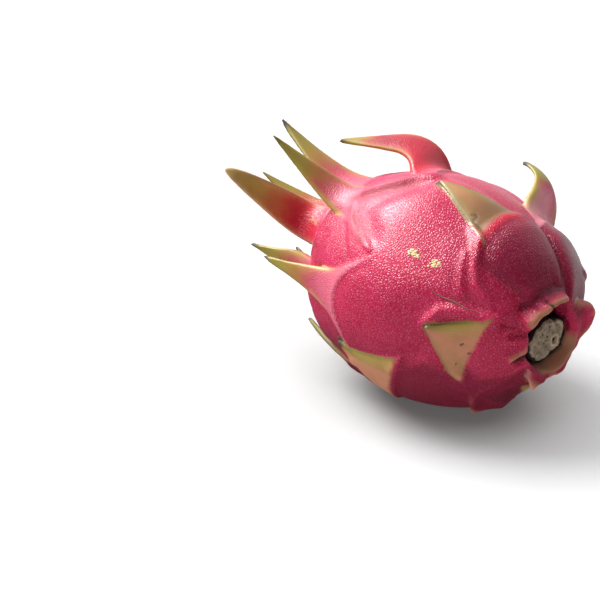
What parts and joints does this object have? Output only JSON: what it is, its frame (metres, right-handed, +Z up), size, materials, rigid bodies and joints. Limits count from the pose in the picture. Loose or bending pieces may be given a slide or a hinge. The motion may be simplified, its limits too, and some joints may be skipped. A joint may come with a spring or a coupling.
{
  "type": "dragon fruit",
  "caption": "Whole dragon fruit lying on its side: a plump pink body with swollen pillows, leaf-like scales curling to the blossom end and a cut woody stem stub.",
  "frame": {"origin": "on the pressed flat spot that the fruit rests on, under the lowest part of its belly, at floor level", "axes": "+Z up, +X along the fruit's long axis towards the stem end, which droops by a few degrees, -Y towards the side that shows in the picture"},
  "size_m": [0.1399, 0.092, 0.096],
  "materials": {
    "skin": "waxy satin",
    "cork": "rough cut cork"
  },
  "bodies": {
    "root": {"fruit": "skin", "stem_stub": "cork"}
  },
  "joints": []
}
